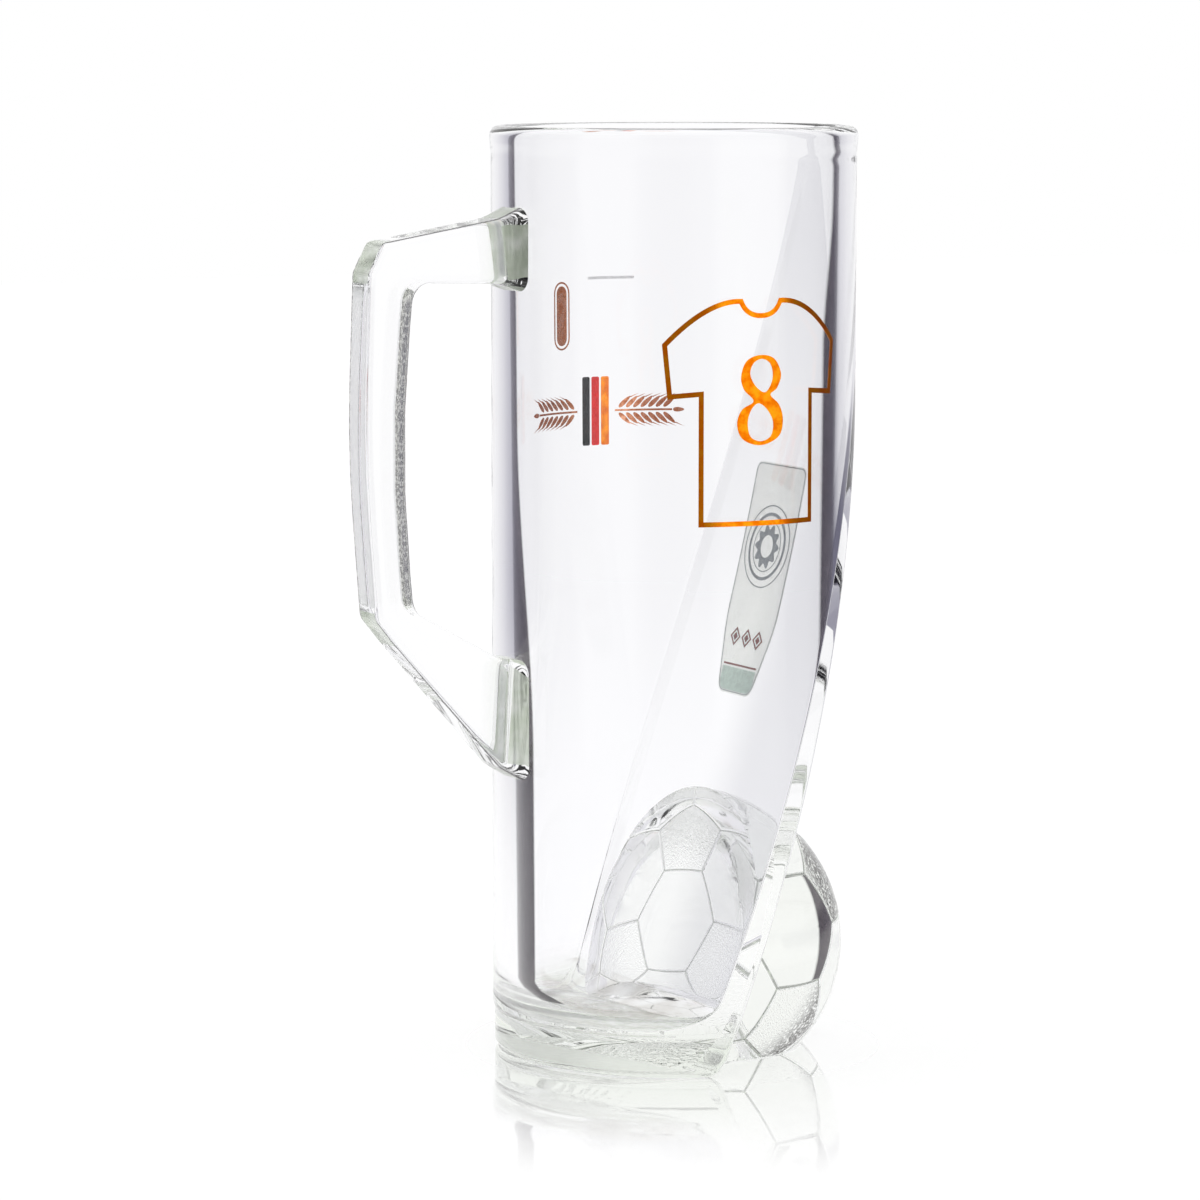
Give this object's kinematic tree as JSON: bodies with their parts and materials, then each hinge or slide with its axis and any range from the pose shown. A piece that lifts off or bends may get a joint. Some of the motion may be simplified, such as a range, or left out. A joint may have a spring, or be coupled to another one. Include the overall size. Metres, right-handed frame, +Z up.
{
  "type": "beer mug",
  "caption": "Tall clear glass beer mug with a side handle, a slanted front face over a moulded football foot, and thin gold, silver and coloured prints.",
  "frame": {"origin": "where the axis of the round cup meets the table", "axes": "+Z up along the cup's axis; +X towards the slanted face and the football; the handle points along -X; the jersey print is on the -Y side"},
  "size_m": [0.1127, 0.078, 0.196],
  "materials": {
    "clear_glass": "gloss",
    "gold_print": "satin",
    "copper_print": "satin",
    "silver_print": "satin",
    "pale_green_print": "satin",
    "dark_red_print": "satin",
    "grey_print": "satin",
    "black_print": "satin",
    "red_print": "satin",
    "white_print": "satin"
  },
  "bodies": {
    "root": {"cup": "clear_glass", "football": "clear_glass", "handle": "clear_glass", "jersey_outline": "gold_print", "jersey_number": "gold_print", "label_panel": "silver_print", "label_band": "pale_green_print", "label_lozenges": "dark_red_print", "label_rosette": "grey_print", "barley_left": "copper_print", "barley_right": "copper_print", "bar_black": "black_print", "bar_red": "red_print", "bar_gold": "gold_print", "capsule_mark": "copper_print", "fill_mark": "white_print"}
  },
  "joints": []
}
